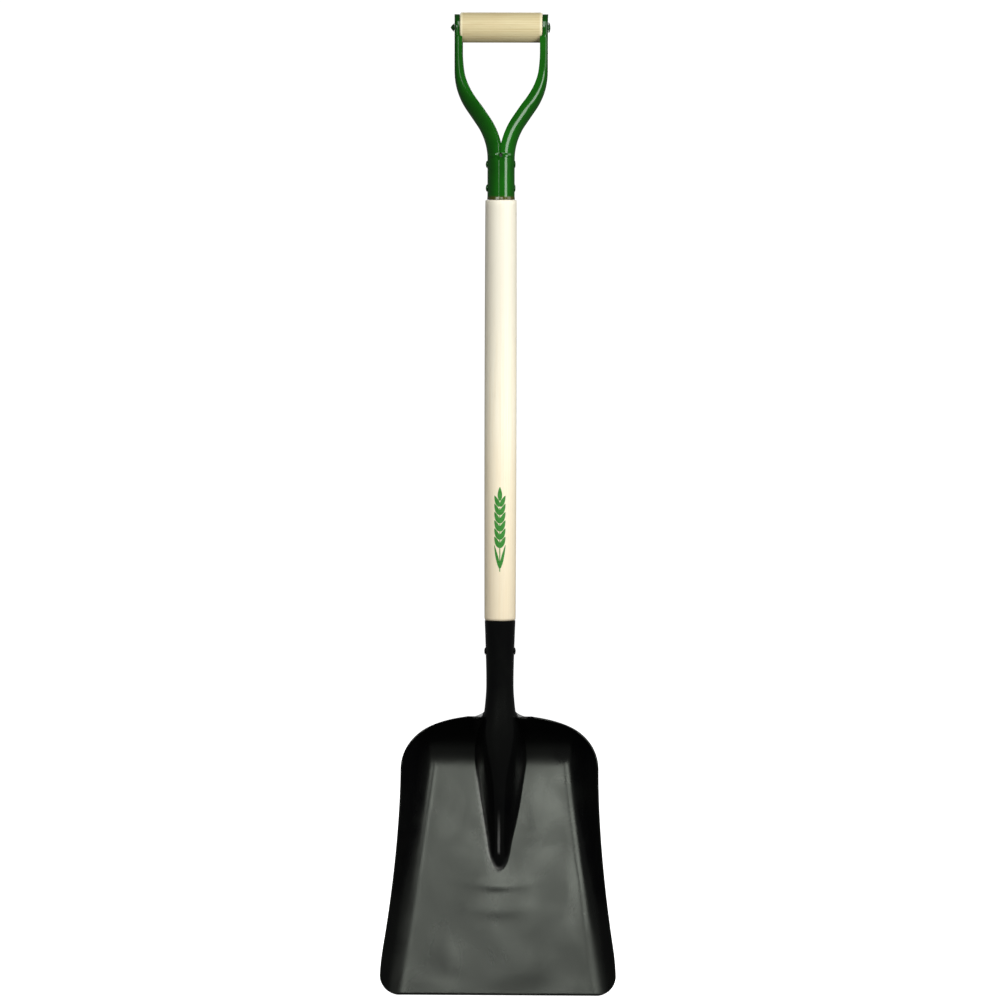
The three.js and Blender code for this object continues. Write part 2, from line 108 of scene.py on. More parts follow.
# Shaft
SHAFT_END_Z = 358
SHAFT_LOW_R = 19.2
SHAFT_HIGH_R = 19.2
SHAFT_BELLY = 0.5
GAP = 0.3
SOCKET_CLEARANCE = 0.4
SHOULDER_ROUND = 1.4
BEVEL = 2.6  # where the shaft meets the socket
TENON_TAPER_Z = 1016
TENON_TAPER = 1.6
TENON_TOP_Z = 1039
TENON_BEVEL = 3

# Yoke
YOKE_WALL = 1.6
FERRULE_Z = 971.4
FERRULE_R = 16.7
FERRULE_LIP = 0.4
YOKE_BEND_Z = 1020.3
SLIT_Z = 1025
SLIT_HOLE_R = 2.2
HALF_SLIT = 0.25
BEND = math.radians(34.5)
LOWER_BEND_R = 74
UPPER_BEND_R = 85
EAR_X = 57.4
EAR_R = 16.6
CHANNEL_FLARE = 1.8
CHANNEL_DEPTH = 9.9
EAR_DEPTH = 6.6
EAR_LIP_Z = 1171.5  # where the channel's flanges are cut back to make room for the grip
CHANNEL_TOP_Z = 1152
CHANNEL_BOTTOM_Z = 1072
CHANNEL_SQUARENESS = 4.5  # 2 is round
TUBE_SQUARENESS = 2

# Grip and rivets
GRIP_Z = 1181.5
GRIP_R = 18.4
GRIP_HALF = 50.4
GRIP_BORE_R = 3.45
GRIP_RIVET_R = 3.2
RIVET_R = 2.5
RIVET_HEAD_R = 4.6
YOKE_RIVET_Z = (1014.6, 985.5)
SOCKET_RIVET_Z = 417

# Printed mark on the shaft
MARK_LOW_Z = 514
MARK_HIGH_Z = 620
MARK_LIFT = 0.12

# Where use has left the floor's paint duller (above zero) or glossier (below zero):
# x, z, width, height, strength
WORN_PATCHES = (
    (-40, 112, 22, 34, 0.8),
    (-8, 108, 26, 10, 0.4),
    (-44, 215, 16, 40, 0.7),
    (52, 18, 34, 20, 1.1),
    (0, 16, 40, 14, 0.5),
    (62, 115, 18, 26, 0.5),
    (22, 70, 60, 16, 0.4),
    (-66, 60, 16, 60, -0.5),
    (40, 190, 24, 46, -0.6),
    (34, 118, 14, 20, -0.4),
    (-42, 190, 18, 70, -0.5),
    (2, 122, 22, 26, -0.35),
)

# Studio, in metres
CAMERA_HEIGHT = 1.0
CAMERA_DISTANCE = 7.4
CAMERA_AZIMUTH = math.radians(1.5)
CAMERA_ROLL = math.radians(0.13)
AIM_HEIGHT = 0.603
SENSOR_WIDTH = 36.0  # millimetres
PICTURE_WIDTH = 1.2279  # how much the picture takes in at the shovel
BACKDROP = 1.05  # brightness of the white behind the shovel
AMBIENT = 0.12  # brightness of the soft light that comes from all round


# ---------------------------------------------------------------- maths


def mix(a, b, t):
    return a + (b - a) * t


def smoothstep(low, high, value):
    t = np.clip((value - low) / (high - low), 0, 1)
    return t * t * (3 - 2 * t)


def ramp(value, blend):
    """Zero below -blend, the value itself above blend, and a smooth bend between."""
    share = np.clip((value + blend) / (2 * blend), 0, 1)
    middle = 2 * blend * share**3 * (1 - share / 2)
    return np.where(value <= -blend, 0, np.where(value >= blend, value, middle))


def smooth_min(a, b, blend):
    share = np.maximum(blend - np.abs(a - b), 0) / blend
    return np.minimum(a, b) - share * share * blend / 4


# ---------------------------------------------------------------- scoop shape


def half_width(z):
    if z > SHOULDER_Z:
        up = (z - SHOULDER_Z) / SHOULDER_RISE
        return SHOULDER_HALF * (1 - up**SHOULDER_POWER) ** (1 / SHOULDER_POWER)
    side = SHOULDER_HALF + TIP_FLARE * ((SHOULDER_Z - z) / FLARE_RUN) ** FLARE_POWER
    below = max(TIP_CORNER_R - z, 0)
    inset = TIP_CORNER_R - math.sqrt(TIP_CORNER_R**2 - below**2)
    return float(smooth_min(side, TIP_CORNER_HALF - inset, TIP_CORNER_BLEND))


def floor_depth(z):
    return HEEL_Y - (HEEL_Z - z) * FLOOR_SLOPE


def wall_rise(x, z):
    crease = CREASE_TIP_HALF - CREASE_TAPER * z
    slope = mix(SIDE_SLOPE_TIP, SIDE_SLOPE_HEEL, smoothstep(0, SIDE_SLOPE_RUN, z))
    side = slope * ramp(np.abs(x) - crease, CREASE_BLEND)
    back = BACK_SLOPE * ramp(z - BACK_LINE_Z, BACK_BLEND)
    return (side**WALL_CORNER_POWER + back**WALL_CORNER_POWER) ** (1 / WALL_CORNER_POWER)


def socket_radius(z):
    """Radius of the socket, and of the ridge that continues it down the scoop."""
    if z >= WAIST_TOP_Z:
        up = (z - WAIST_TOP_Z) / (SOCKET_TOP_Z - WAIST_TOP_Z)
        return WAIST_R + (SOCKET_TOP_R - WAIST_R) * up**SOCKET_POWER
    if z >= RIDGE_TOP_Z:
        return float(mix(RIDGE_TOP_R, WAIST_R, smoothstep(RIDGE_TOP_Z, WAIST_BOTTOM_Z, z)))
    down = (RIDGE_TOP_Z - z) / (RIDGE_TOP_Z - RIDGE_TIP_Z)
    return RIDGE_TOP_R - (RIDGE_TOP_R - RIDGE_TIP_R) * down**RIDGE_POWER


def ridge_depth(x, z):
    radius = socket_radius(z)
    if radius <= 0.5:
        return np.full_like(x, NO_RIDGE)
    lean = math.hypot(1, RIDGE_SIDE_SLOPE)
    tangent_x = radius * RIDGE_SIDE_SLOPE / lean
    across = np.abs(x)
    front = -np.sqrt(np.maximum(radius**2 - across**2, 0))
    side = -radius / lean + RIDGE_SIDE_SLOPE * (across - tangent_x)
    rounded = np.where(across < tangent_x, front, side)
    floor = floor_depth(z)
    foot_squared = radius**2 - floor**2 if floor < 0 else (radius + floor / RIDGE_SIDE_SLOPE) ** 2
    if foot_squared <= 0:
        return rounded
    keel = across**2 / foot_squared * (floor + radius) - radius
    return mix(keel, rounded, float(smoothstep(KEEL_TOP_Z, RIDGE_TOP_Z, z)))


def floor_waves(x, z):
    """The slight unevenness that pressing leaves in the floor: arcs below the ridge, and slow swells."""
    below = RIDGE_TIP_Z - z
    bow = below + (x / 21) ** 2
    arcs = 0.6 * np.exp(-(((bow - 22) / 6) ** 2)) + 0.85 * np.exp(-(((bow - 50) / 11) ** 2))
    arcs = arcs * np.exp(-((x / 38) ** 2)) * smoothstep(4, 16, below)
    slow = 0.42 * np.sin(x / 33 + 1.1) * np.cos(z / 41 - 0.9) + 0.3 * np.sin(x / 19 - z / 33 + 0.5)
    slow = slow + 0.22 * np.cos(x / 14 + z / 24) * np.sin(z / 19 + 1.7)
    inside = smoothstep(0, 26, CREASE_TIP_HALF - CREASE_TAPER * z - np.abs(x)) * smoothstep(3, 26, z)
    return (arcs + slow) * inside * smoothstep(275, 235, z)


def floor_wear(x, z):
    """How dull use has left the sheet: about one on the floor, zero on the ridge, walls and socket."""
    on_floor = smoothstep(16, 2, np.abs(x) - (CREASE_TIP_HALF - CREASE_TAPER * z))
    ridge_half = 25 * np.sqrt(np.clip((z - RIDGE_TIP_Z + 4) / 110, 0, 1))
    off_ridge = np.where(z > RIDGE_TIP_Z - 4, smoothstep(-5, 1, np.abs(x) - ridge_half), 1)
    patches = 0
    for at_x, at_z, wide, tall, strength in WORN_PATCHES:
        patches = patches + strength * np.exp(-(((x - at_x) / wide) ** 2) - ((z - at_z) / tall) ** 2)
    below_back = smoothstep(BACK_LINE_Z + 8, BACK_LINE_Z - 12, z)
    return on_floor * off_ridge * below_back * np.maximum(1 + patches, 0)


def foot_highlight(x, z):
    """A narrow painted highlight along the ridge's left foot and round its tip, from 0 to 1."""

    def foot_squared(z):
        down = np.maximum(RIDGE_TOP_Z - z, 0) / (RIDGE_TOP_Z - RIDGE_TIP_Z)
        radius = RIDGE_TOP_R - (RIDGE_TOP_R - RIDGE_TIP_R) * down**RIDGE_POWER
        floor = floor_depth(z)
        return np.where(floor < 0, radius**2 - floor**2, (radius + floor / RIDGE_SIDE_SLOPE) ** 2)

    step = 0.5
    narrowing = (foot_squared(z + step) - foot_squared(z - step)) / (2 * step)
    beyond = (x**2 - foot_squared(z)) / np.maximum(np.hypot(2 * x, narrowing), 1)
    line = np.exp(-(((beyond - 1.7) / 2.0) ** 2))
    low_down = smoothstep(276, 250, z) * smoothstep(RIDGE_TIP_Z - 12, RIDGE_TIP_Z - 6, z)
    return line * smoothstep(7, -3, x) * low_down * mix(0.55, 1, smoothstep(150, 185, z))


def neck_lips(x, z):
    """The last few millimetres of the rim beside the neck lean back, where the sheet starts to fold."""
    across = smoothstep(21, 26, np.abs(x)) * smoothstep(45, 36, np.abs(x))
    down = np.maximum(NECK_Z + 0.6 - z, 0)
    return 2.6 * across * np.maximum(1 - down / 6.5, 0) ** 2


def tip_bevel(z):
    """The tip's edge is ground back a little on its hollow side."""
    return 0.75 * np.maximum(1 - z / 2.6, 0) ** 1.5


def scoop_depth(x, z):
    left = mix(FOOT_CRISP, FOOT_SOFT_LEFT, smoothstep(*FOOT_LEFT_Z, z))
    right = mix(FOOT_CRISP, FOOT_SOFT_RIGHT, smoothstep(*FOOT_RIGHT_Z, z))
    blend = mix(np.where(x < 0, left, right), FOOT_NECK, smoothstep(*FOOT_NECK_Z, z))
    sheet = floor_depth(z) - wall_rise(x, z) - floor_waves(x, z)
    return smooth_min(sheet, ridge_depth(x, z), blend) + neck_lips(x, z)


def scoop_row(z, columns):
    """Points across the scoop at one height, closer together where the sheet turns."""
    bend_weight = 22
    x = np.linspace(-half_width(z), half_width(z), 1601)
    y = scoop_depth(x, z)
    slope = np.arctan2(np.diff(y), np.diff(x))
    turn = np.concatenate([[0], np.abs(np.diff(slope))])
    measure = np.concatenate([[0], np.cumsum(np.hypot(np.diff(x), np.diff(y)) + bend_weight * turn)])
    across = np.interp(np.linspace(0, measure[-1], columns), measure, x)
    return np.stack([across, scoop_depth(across, z), np.full(columns, float(z))], 1)


def socket_row(z, neck_row):
    """Points round the socket, which wraps backwards from the neck until its edges meet at the seam."""
    wrapped = min(max((z - NECK_Z) / (SEAM_Z - NECK_Z), 0), 1)
    closed = np.linspace(-SEAM_ANGLE, SEAM_ANGLE, len(neck_row))
    neck_angle = np.arctan2(neck_row[:, 0], -neck_row[:, 1])
    neck_extra = np.hypot(neck_row[:, 0], neck_row[:, 1]) - socket_radius(NECK_Z)
    angle = mix(neck_angle, closed, wrapped)
    radius = socket_radius(z) + neck_extra * (1 - wrapped) ** NECK_FOLD_POWER
    return np.stack([radius * np.sin(angle), -radius * np.cos(angle), np.full(len(angle), float(z))], 1)


# ---------------------------------------------------------------- mesh tools


def unit(v):
    return v / np.maximum(np.linalg.norm(v, axis=-1, keepdims=True), 1e-9)


def inside_of(outside, thickness):
    """The sheet's other face, one thickness behind each point of a grid."""
    across = np.gradient(outside, axis=1)
    up = np.gradient(outside, axis=0)
    return outside - unit(np.cross(across, up)) * thickness


class Body:
    """Collects points and faces, in millimetres from the shaft's axis, and makes one mesh object."""

    def __init__(self):
        self.points = []
        self.faces = []
        self.count = 0

    def add(self, grid):
        grid = np.asarray(grid, float)
        flat = grid.reshape(-1, 3)
        ids = np.arange(self.count, self.count + len(flat)).reshape(grid.shape[:-1])
        self.points.append(flat)
        self.count += len(flat)
        return ids

    def quads(self, ids, flip=False):
        a, b, c, d = ids[:-1, :-1], ids[:-1, 1:], ids[1:, 1:], ids[1:, :-1]
        corners = (a, d, c, b) if flip else (a, b, c, d)
        self.faces.append(np.stack([k.ravel() for k in corners], 1))

    def object(self, name, material, weld=0.0, sharp=40):
        mesh = bpy.data.meshes.new(name)
        points = np.concatenate(self.points)
        points[:, 1] += AXIS_Y
        faces = np.concatenate(self.faces)
        mesh.from_pydata((points * MM).tolist(), [], faces.tolist())
        if weld:
            weld_points(mesh, weld * MM)
        mesh.validate()
        mesh.polygons.foreach_set("use_smooth", [True] * len(mesh.polygons))
        mesh.set_sharp_from_angle(angle=math.radians(sharp))
        mesh.materials.append(material)
        piece = bpy.data.objects.new(name, mesh)
        bpy.context.scene.collection.objects.link(piece)
        return piece


def weld_points(mesh, distance):
    work = bmesh.new()
    work.from_mesh(mesh)
    bmesh.ops.remove_doubles(work, verts=work.verts, dist=distance)
    bmesh.ops.dissolve_degenerate(work, edges=work.edges, dist=distance * 0.1)
    bmesh.ops.recalc_face_normals(work, faces=work.faces)
    work.to_mesh(mesh)
    work.free()


def add_rounded_edge(body, outer, inner, away, flip=False, bulge=EDGE_ROUND, steps=4):
    """Joins the two faces of a sheet along one edge with a rounded lip. away points out of the sheet."""
    share = np.linspace(0, 1, steps + 1)[:, None, None]
    swell = np.sin(np.pi * share) ** 0.7 * bulge
    body.quads(body.add(outer[None] * (1 - share) + inner[None] * share + away[None] * swell), flip)


def turned(profile, axis, segments=96, centre_z=0.0):
    """A body of revolution from (place along the axis, radius) pairs, closed on itself or on the axis."""
    profile = np.asarray(profile, float)
    angle = np.linspace(0, 2 * np.pi, segments + 1)
    along = np.repeat(profile[:, 0][:, None], segments + 1, 1)
    c = profile[:, 1][:, None] * np.cos(angle)
    s = profile[:, 1][:, None] * np.sin(angle)
    grid = np.stack([c, s, along], 2) if axis == "z" else np.stack([along, c, s + centre_z], 2)
    body = Body()
    body.quads(body.add(grid))
    return body


def rounded_profile(points, radius, steps=5):
    """Replaces each inner corner of an open profile by a small arc."""
    points = np.asarray(points, float)
    made = [points[0]]
    for before, corner, after in zip(points, points[1:], points[2:]):
        r = min(radius, 0.45 * np.linalg.norm(before - corner), 0.45 * np.linalg.norm(after - corner))
        start = corner + unit(before - corner) * r
        end = corner + unit(after - corner) * r
        for t in np.linspace(0, 1, steps):
            made.append((1 - t) ** 2 * start + 2 * t * (1 - t) * corner + t * t * end)
    made.append(points[-1])
    return np.array(made)


# ---------------------------------------------------------------- materials


class Nodes:
    """A short way to write a material's nodes."""

    def __init__(self, name):
        self.material = bpy.data.materials.new(name)
        self.material.use_nodes = True
        self.tree = self.material.node_tree
        self.shader = self.tree.nodes["Principled BSDF"]
        self.place = self.new("ShaderNodeTexCoord").outputs["Object"]

    def new(self, kind, **settings):
        node = self.tree.nodes.new(kind)
        for key, value in settings.items():
            setattr(node, key, value)
        return node

    def link(self, source, target):
        self.tree.links.new(source, target)

    def set(self, **values):
        for key, value in values.items():
            self.shader.inputs[key.replace("_", " ")].default_value = value

    def stretched(self, scale, location=(0, 0, 0)):
        node = self.new("ShaderNodeMapping")
        self.link(self.place, node.inputs["Vector"])
        node.inputs["Scale"].default_value = scale
        node.inputs["Location"].default_value = location
        return node.outputs["Vector"]

    def noise(self, vector, scale, detail=3.0, roughness=0.5, distortion=0.0):
        node = self.new("ShaderNodeTexNoise")
        self.link(vector, node.inputs["Vector"])
        node.inputs["Scale"].default_value = scale
        node.inputs["Detail"].default_value = detail
        node.inputs["Roughness"].default_value = roughness
        node.inputs["Distortion"].default_value = distortion
        return node.outputs["Fac"]

    def range(self, value, from_low, from_high, to_low, to_high):
        node = self.new("ShaderNodeMapRange", interpolation_type="SMOOTHSTEP")
        self.link(value, node.inputs["Value"])
        limits = {"From Min": from_low, "From Max": from_high, "To Min": to_low, "To Max": to_high}
        for key, number in limits.items():
            node.inputs[key].default_value = number
        return node.outputs["Result"]

    def maths(self, operation, a, b=0):
        node = self.new("ShaderNodeMath", operation=operation)
        for socket, value in zip(node.inputs, (a, b)):
            if isinstance(value, (int, float)):
                socket.default_value = value
            else:
                self.link(value, socket)
        return node.outputs["Value"]

    def blend(self, factor, low, high):
        node = self.new("ShaderNodeMix", data_type="RGBA")
        sockets = [s for s in node.inputs if s.type == "RGBA"]
        self.link(factor, node.inputs["Factor"])
        for socket, value in zip(sockets, (low, high)):
            if isinstance(value, tuple):
                socket.default_value = (*value, 1)
            else:
                self.link(value, socket)
        return next(s for s in node.outputs if s.type == "RGBA")

    def bump(self, height, strength, distance_mm, normal=None):
        node = self.new("ShaderNodeBump")
        node.inputs["Strength"].default_value = strength
        node.inputs["Distance"].default_value = distance_mm * MM
        self.link(height, node.inputs["Height"])
        if normal:
            self.link(normal, node.inputs["Normal"])
        return node.outputs["Normal"]


def black_paint():
    n = Nodes("black_paint")
    flow = n.noise(n.stretched((1, 1, 0.7)), 16, 4, 0.55, 0.6)
    peel = n.noise(n.place, 420, 2)
    grit = n.noise(n.place, 1900, 1)
    colour = n.blend(n.range(flow, 0.3, 0.7, 0, 1), (0.0018, 0.0018, 0.0022), (0.0034, 0.0036, 0.0034))
    parts = n.new("ShaderNodeSeparateXYZ")
    n.link(n.place, parts.inputs["Vector"])
    # painted highlight: a thin lighter line down the ridge's crest, about 166 to 226 mm up
    wander = n.maths("MULTIPLY", n.noise(n.place, 60, 2), 0.0012)
    off_crest = n.maths("ABSOLUTE", n.maths("ADD", parts.outputs["X"], wander))
    crest_highlight = n.range(off_crest, 0.0003, 0.0024, 0.7, 0)
    crest_highlight = n.maths("MULTIPLY", crest_highlight, n.range(parts.outputs["Z"], 0.166, 0.172, 0, 1))
    crest_highlight = n.maths("MULTIPLY", crest_highlight, n.range(parts.outputs["Z"], 0.18, 0.226, 1, 0))
    colour = n.blend(crest_highlight, colour, (0.14, 0.14, 0.135))
    # painted highlight along the ridge's left foot and round its tip, mottled by noise
    foot_highlight_mask = n.new("ShaderNodeAttribute", attribute_name="foot_highlight").outputs["Fac"]
    foot_highlight_mask = n.maths("MULTIPLY", foot_highlight_mask, n.range(n.noise(n.place, 170, 2), 0.3, 0.55, 0.55, 1))
    colour = n.blend(foot_highlight_mask, colour, (0.16, 0.16, 0.152))
    n.link(colour, n.shader.inputs["Base Color"])
    wear = n.new("ShaderNodeAttribute", attribute_name="wear").outputs["Fac"]
    n.link(n.range(wear, 0, 0.8, 0.2, 0.5), n.shader.inputs["Specular IOR Level"])
    dull = n.range(n.maths("ADD", flow, n.maths("MULTIPLY", grit, 0.2)), 0.4, 0.85, 0.0, 0.13)
    worn = n.maths("ADD", n.maths("MULTIPLY", wear, 0.085), 0.17)
    n.link(n.maths("ADD", dull, worn), n.shader.inputs["Roughness"])
    n.set(Metallic=0.0, IOR=1.47)
    n.shader.inputs["Specular Tint"].default_value = (0.93, 1.0, 0.88, 1)
    n.link(n.bump(grit, 0.1, 0.05, n.bump(peel, 0.14, 0.2)), n.shader.inputs["Normal"])
    return n.material


def green_paint():
    """Glossy enamel over bright steel, with a brownish band where the ferrule's edge meets the shaft: painted
    reflection of the wood and painted shade.
    """
    n = Nodes("green_paint")
    flow = n.noise(n.place, 24, 3)
    peel = n.noise(n.place, 380, 2)
    grit = n.noise(n.place, 1500, 1)
    colour = n.blend(n.range(flow, 0.3, 0.7, 0, 1), (0.003, 0.072, 0.001), (0.005, 0.098, 0.002))
    parts = n.new("ShaderNodeSeparateXYZ")
    n.link(n.place, parts.inputs["Vector"])
    height = n.maths("ADD", parts.outputs["Z"], n.maths("MULTIPLY", n.noise(n.place, 210, 2), 0.0012))
    # painted reflection and shade: a dark brownish band along the ferrule's lower edge
    edge_reflection_shade = n.range(height, (FERRULE_Z + 2.6) * MM, (FERRULE_Z + 6.2) * MM, 0.8, 0)
    below = n.range(height, (FERRULE_Z - 6) * MM, (FERRULE_Z - 5) * MM, 0, 1)
    colour = n.blend(n.maths("MULTIPLY", edge_reflection_shade, below), colour, (0.07, 0.05, 0.012))
    # painted shade: the tops of the ears are darkened towards near-black green
    colour = n.blend(n.range(height, 1.166, 1.182, 0, 0.6), colour, (0.001, 0.03, 0.001))
    n.link(colour, n.shader.inputs["Base Color"])
    dull = n.range(n.maths("ADD", flow, n.maths("MULTIPLY", grit, 0.2)), 0.4, 0.8, 0.4, 0.5)
    n.link(dull, n.shader.inputs["Roughness"])
    n.set(Metallic=0.35, IOR=1.45, Specular_IOR_Level=0.0, Coat_Weight=0.85, Coat_Roughness=0.11)
    n.link(n.bump(grit, 0.06, 0.04, n.bump(peel, 0.1, 0.15)), n.shader.inputs["Normal"])
    n.link(n.bump(peel, 0.05, 0.1), n.shader.inputs["Coat Normal"])
    return n.material


def wood(name, along, pale, deep, tint, roughness, heart):
    """Straight-grained wood. along is the axis of the grain, and heart is where the tree's middle was."""
    n = Nodes(name)
    along_index = "xyz".index(along)
    long_scale = [1.0, 1.0, 1.0]
    long_scale[along_index] = 0.035
    fibre = n.stretched(tuple(long_scale))
    ring_scale = [1.0, 1.0, 1.0]
    ring_scale[along_index] = 0.02
    rings = n.new("ShaderNodeTexWave", wave_type="RINGS", rings_direction=along.upper(), wave_profile="SAW")
    n.link(n.stretched(tuple(ring_scale), heart), rings.inputs["Vector"])
    rings.inputs["Scale"].default_value = 105
    rings.inputs["Distortion"].default_value = 5.5
    rings.inputs["Detail"].default_value = 2
    rings.inputs["Detail Scale"].default_value = 0.35
    streaks = n.noise(fibre, 420, 4, 0.6)
    fine = n.noise(fibre, 1700, 2, 0.6)
    clouds = n.noise(n.stretched((1, 1, 0.4)), 14, 2)
    ring_tone = n.range(rings.outputs["Fac"], 0.55, 1.0, 0, 0.55)
    tone = n.maths("ADD", ring_tone, n.range(streaks, 0.38, 0.72, 0, 0.5))
    colour = n.blend(tone, pale, deep)
    colour = n.blend(n.range(clouds, 0.35, 0.7, 0, 0.45), colour, tint)
    pores = n.range(fine, 0.60, 0.72, 0, 1)
    colour = n.blend(n.maths("MULTIPLY", pores, 0.3), colour, tuple(c * 0.62 for c in deep))
    n.colour = colour
    n.link(colour, n.shader.inputs["Base Color"])
    n.link(n.range(tone, 0, 1, roughness, roughness + 0.12), n.shader.inputs["Roughness"])
    n.set(Metallic=0.0, IOR=1.45)
    n.link(n.bump(n.maths("SUBTRACT", tone, pores), 0.25, 0.12), n.shader.inputs["Normal"])
    return n


def shaft_wood():
    pale, deep, tint = (0.91, 0.86, 0.70), (0.84, 0.74, 0.53), (0.88, 0.77, 0.55)
    n = wood("shaft_wood", "z", pale, deep, tint, 0.45, (0.021, 0.034, 0))
    parts = n.new("ShaderNodeSeparateXYZ")
    n.link(n.place, parts.inputs["Vector"])
    height = parts.outputs["Z"]
    low = n.range(height, 0.74, 0.46, 0, 0.6)
    warm = n.blend(low, n.colour, (0.88, 0.73, 0.49))
    warm = n.blend(n.range(height, 0.66, 0.9, 0, 0.75), warm, (0.67, 0.64, 0.535))
    # painted shade: the tenon above the ferrule, seen through the yoke's slit, is coloured near-black green
    tenon_shade = n.range(height, (FERRULE_Z + 2) * MM, (FERRULE_Z + 8) * MM, 0, 1)
    n.link(n.blend(tenon_shade, warm, (0.010, 0.022, 0.008)), n.shader.inputs["Base Color"])
    return n.material


def grip_wood():
    pale, deep, tint = (0.57, 0.50, 0.29), (0.46, 0.36, 0.18), (0.51, 0.40, 0.215)
    n = wood("grip_wood", "x", pale, deep, tint, 0.5, (0, 0.028, 0.02))
    parts = n.new("ShaderNodeSeparateXYZ")
    n.link(n.place, parts.inputs["Vector"])
    # painted highlight: the grip's chamfered ends are lightened
    end_highlight = n.range(n.maths("ABSOLUTE", parts.outputs["X"]), 0.0464, 0.0484, 0, 0.8)
    n.link(n.blend(end_highlight, n.colour, (0.72, 0.66, 0.44)), n.shader.inputs["Base Color"])
    return n.material


def mark_ink():
    n = Nodes("mark_ink")
    mottle = n.noise(n.place, 600, 3, 0.6)
    colour = n.blend(n.range(mottle, 0.35, 0.65, 0, 1), (0.022, 0.20, 0.016), (0.045, 0.27, 0.035))
    n.link(colour, n.shader.inputs["Base Color"])
    n.link(n.range(mottle, 0.3, 0.7, 0.38, 0.5), n.shader.inputs["Roughness"])
    n.link(n.bump(mottle, 0.1, 0.03), n.shader.inputs["Normal"])
    return n.material


# ---------------------------------------------------------------- pieces


def spaced(*stretches):
    """Rising stations: each stretch is (from, to, count), without repeating where they meet."""
    rows = [np.linspace(low, high, count, endpoint=False) for low, high, count in stretches]
    return np.concatenate([*rows, [stretches[-1][1]]])


def make_scoop(material):
    columns = 241
    tip = TIP_CORNER_R * (1 - np.cos(np.linspace(0, np.pi / 2, 26)))
    body_rows = spaced((28, 140, 44), (140, 175, 30), (175, 256, 36), (256, 316, 46))
    rim_rows = NECK_Z - (NECK_Z - 316) * np.cos(np.linspace(0, np.pi / 2, 26))[1:] ** 1.6
    scoop_rows = [scoop_row(z, columns) for z in (*tip, *body_rows, *rim_rows)]
    neck = spaced((NECK_Z, 340.4, 10), (340.4, SEAM_Z, 14), (SEAM_Z, SOCKET_TOP_Z, 44))[1:]
    outside = np.array(scoop_rows + [socket_row(z, scoop_rows[-1]) for z in neck])
    inside = inside_of(outside, PLATE)
    for row in outside[:26]:
        row[:, 1] += tip_bevel(row[:, 2])
    inside[0] = outside[0]
    inside[0][:, 1] += PLATE * math.hypot(1, FLOOR_SLOPE) - tip_bevel(0)
    inside[-1][:, 2] = SOCKET_TOP_Z
    inside[:, :, 2] = np.maximum(inside[:, :, 2], 0)
    away = np.zeros_like(outside)
    away[:, 0] = unit(outside[:, 0] - outside[:, 1])
    away[:, -1] = unit(outside[:, -1] - outside[:, -2])
    away[0] = (0, 0, -1)
    away[-1] = (0, 0, 1)
    for grid in (outside, inside):
        grid -= away * EDGE_ROUND
    body = Body()
    body.quads(body.add(outside))
    body.quads(body.add(inside), flip=True)
    add_rounded_edge(body, outside[0], inside[0], away[0])
    add_rounded_edge(body, outside[-1], inside[-1], away[-1], flip=True)
    add_rounded_edge(body, outside[:, 0], inside[:, 0], away[:, 0], flip=True)
    add_rounded_edge(body, outside[:, -1], inside[:, -1], away[:, -1])
    piece = body.object("scoop_sheet", material, weld=0.004, sharp=60)
    where = np.empty(len(piece.data.vertices) * 3)
    piece.data.vertices.foreach_get("co", where)
    where = where.reshape(-1, 3) / MM
    # wear drives dullness; foot_highlight is a painted highlight
    for name, pattern in (("wear", floor_wear), ("foot_highlight", foot_highlight)):
        attribute = piece.data.attributes.new(name, "FLOAT", "POINT")
        attribute.data.foreach_set("value", pattern(where[:, 0], where[:, 2]))
    return piece


def shaft_radius(z):
    share = (z - SOCKET_TOP_Z) / (FERRULE_Z - SOCKET_TOP_Z)
    return mix(SHAFT_LOW_R, SHAFT_HIGH_R, share) + SHAFT_BELLY * np.sin(np.pi * share)


def make_shaft(material):
    tenon_r = FERRULE_R - YOKE_WALL - GAP
    neck_r = tenon_r - TENON_TAPER
    stations = np.linspace(SHAFT_END_Z + 3, SOCKET_TOP_Z, 24)
    in_socket = [(z, socket_radius(max(z, WAIST_TOP_Z)) - PLATE - SOCKET_CLEARANCE) for z in stations]
    profile = [
        (SHAFT_END_Z, 0),
        (SHAFT_END_Z, in_socket[0][1] - 3),
        *in_socket,
        (SOCKET_TOP_Z + GAP, in_socket[-1][1]),
        *[(SOCKET_TOP_Z + GAP + BEVEL * t, SHAFT_LOW_R - 1.1 * (1 - t) ** 1.7) for t in np.linspace(0, 1, 7)],
        *[(z, shaft_radius(z)) for z in range(460, 965, 12)],
        (FERRULE_Z - GAP - SHOULDER_ROUND, SHAFT_HIGH_R),
        (FERRULE_Z - GAP - SHOULDER_ROUND * 0.35, SHAFT_HIGH_R - SHOULDER_ROUND * 0.35),
        (FERRULE_Z - GAP, SHAFT_HIGH_R - SHOULDER_ROUND),
        (FERRULE_Z - GAP, tenon_r),
        (TENON_TAPER_Z, tenon_r),
        (TENON_TOP_Z - TENON_BEVEL, neck_r),
        (TENON_TOP_Z, neck_r - TENON_BEVEL),
        (TENON_TOP_Z, 0),
    ]
    return turned(profile, "z").object("shaft_pole", material, weld=0.004)


